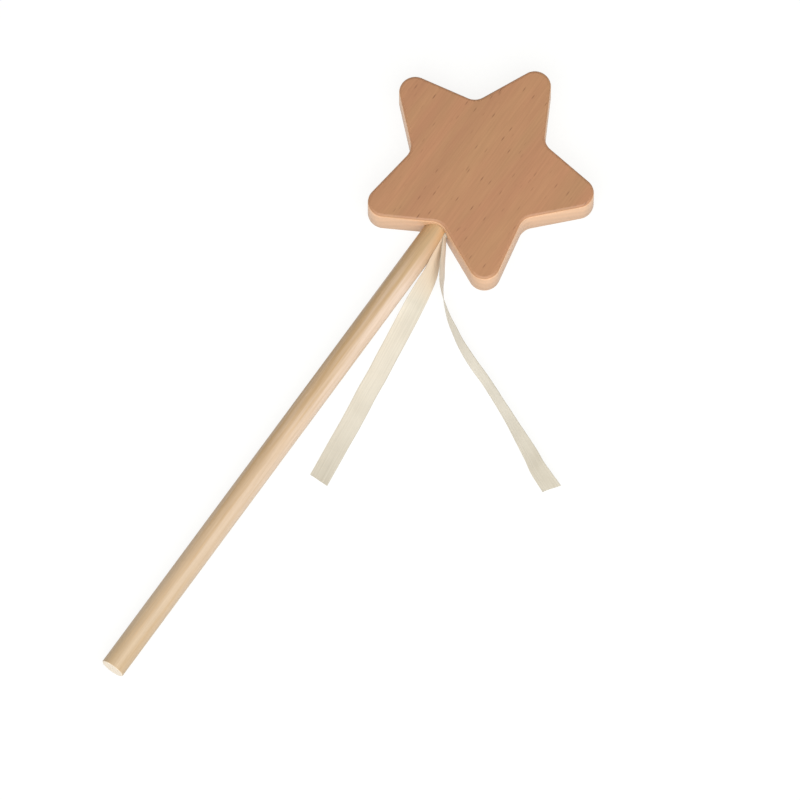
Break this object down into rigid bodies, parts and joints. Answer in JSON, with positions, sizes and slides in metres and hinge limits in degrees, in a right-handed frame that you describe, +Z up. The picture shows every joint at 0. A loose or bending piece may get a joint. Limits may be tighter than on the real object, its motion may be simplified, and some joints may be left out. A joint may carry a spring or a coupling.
{
  "type": "toy magic wand",
  "caption": "Wooden star wand for pretend play: a rounded beech star glued on a round dowel handle, with a satin ribbon folded into the joint and two loose tails.",
  "frame": {"origin": "middle of the star's back face, which the wand lies on", "axes": "+X along the handle towards the star's top point, +Z up out of the star's front face"},
  "size_m": [0.3023, 0.1478, 0.016],
  "materials": {
    "star_beech": "sanded and oiled beech",
    "dowel_wood": "sanded pale dowel",
    "dried_glue": "cured wood glue",
    "satin_ribbon": "cream satin weave"
  },
  "bodies": {
    "root": {"star_head": "star_beech", "handle_dowel": "dowel_wood", "socket_glue": "dried_glue", "ribbon_fold": "satin_ribbon", "ribbon_front_tail": "satin_ribbon", "ribbon_back_tail": "satin_ribbon"}
  },
  "joints": []
}
